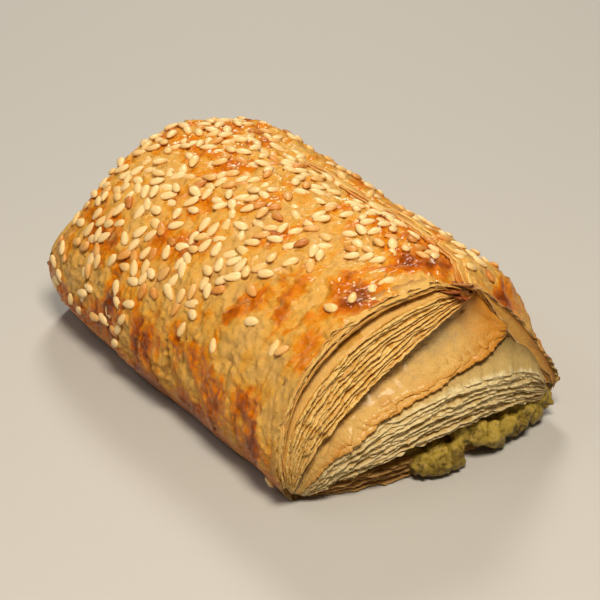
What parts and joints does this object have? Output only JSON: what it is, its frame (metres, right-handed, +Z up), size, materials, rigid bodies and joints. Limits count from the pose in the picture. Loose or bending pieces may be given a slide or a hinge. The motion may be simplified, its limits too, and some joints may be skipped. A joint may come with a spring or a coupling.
{
  "type": "potato borek",
  "caption": "Short roll of flaky puff pastry folded round a mashed potato filling, strewn with sesame, flaky layers and filling open at both ends.",
  "frame": {"origin": "middle of the base, on the plane that the borek rests on", "axes": "+X along the roll, out of the end that the picture shows; +Y towards the overlap seam's side; +Z up"},
  "size_m": [0.098, 0.0661, 0.0385],
  "materials": {
    "pastry": null,
    "filling": "moist mashed potato; matte plastic stands in"
  },
  "bodies": {
    "root": {"pastry": "pastry", "filling": "filling"}
  },
  "joints": []
}
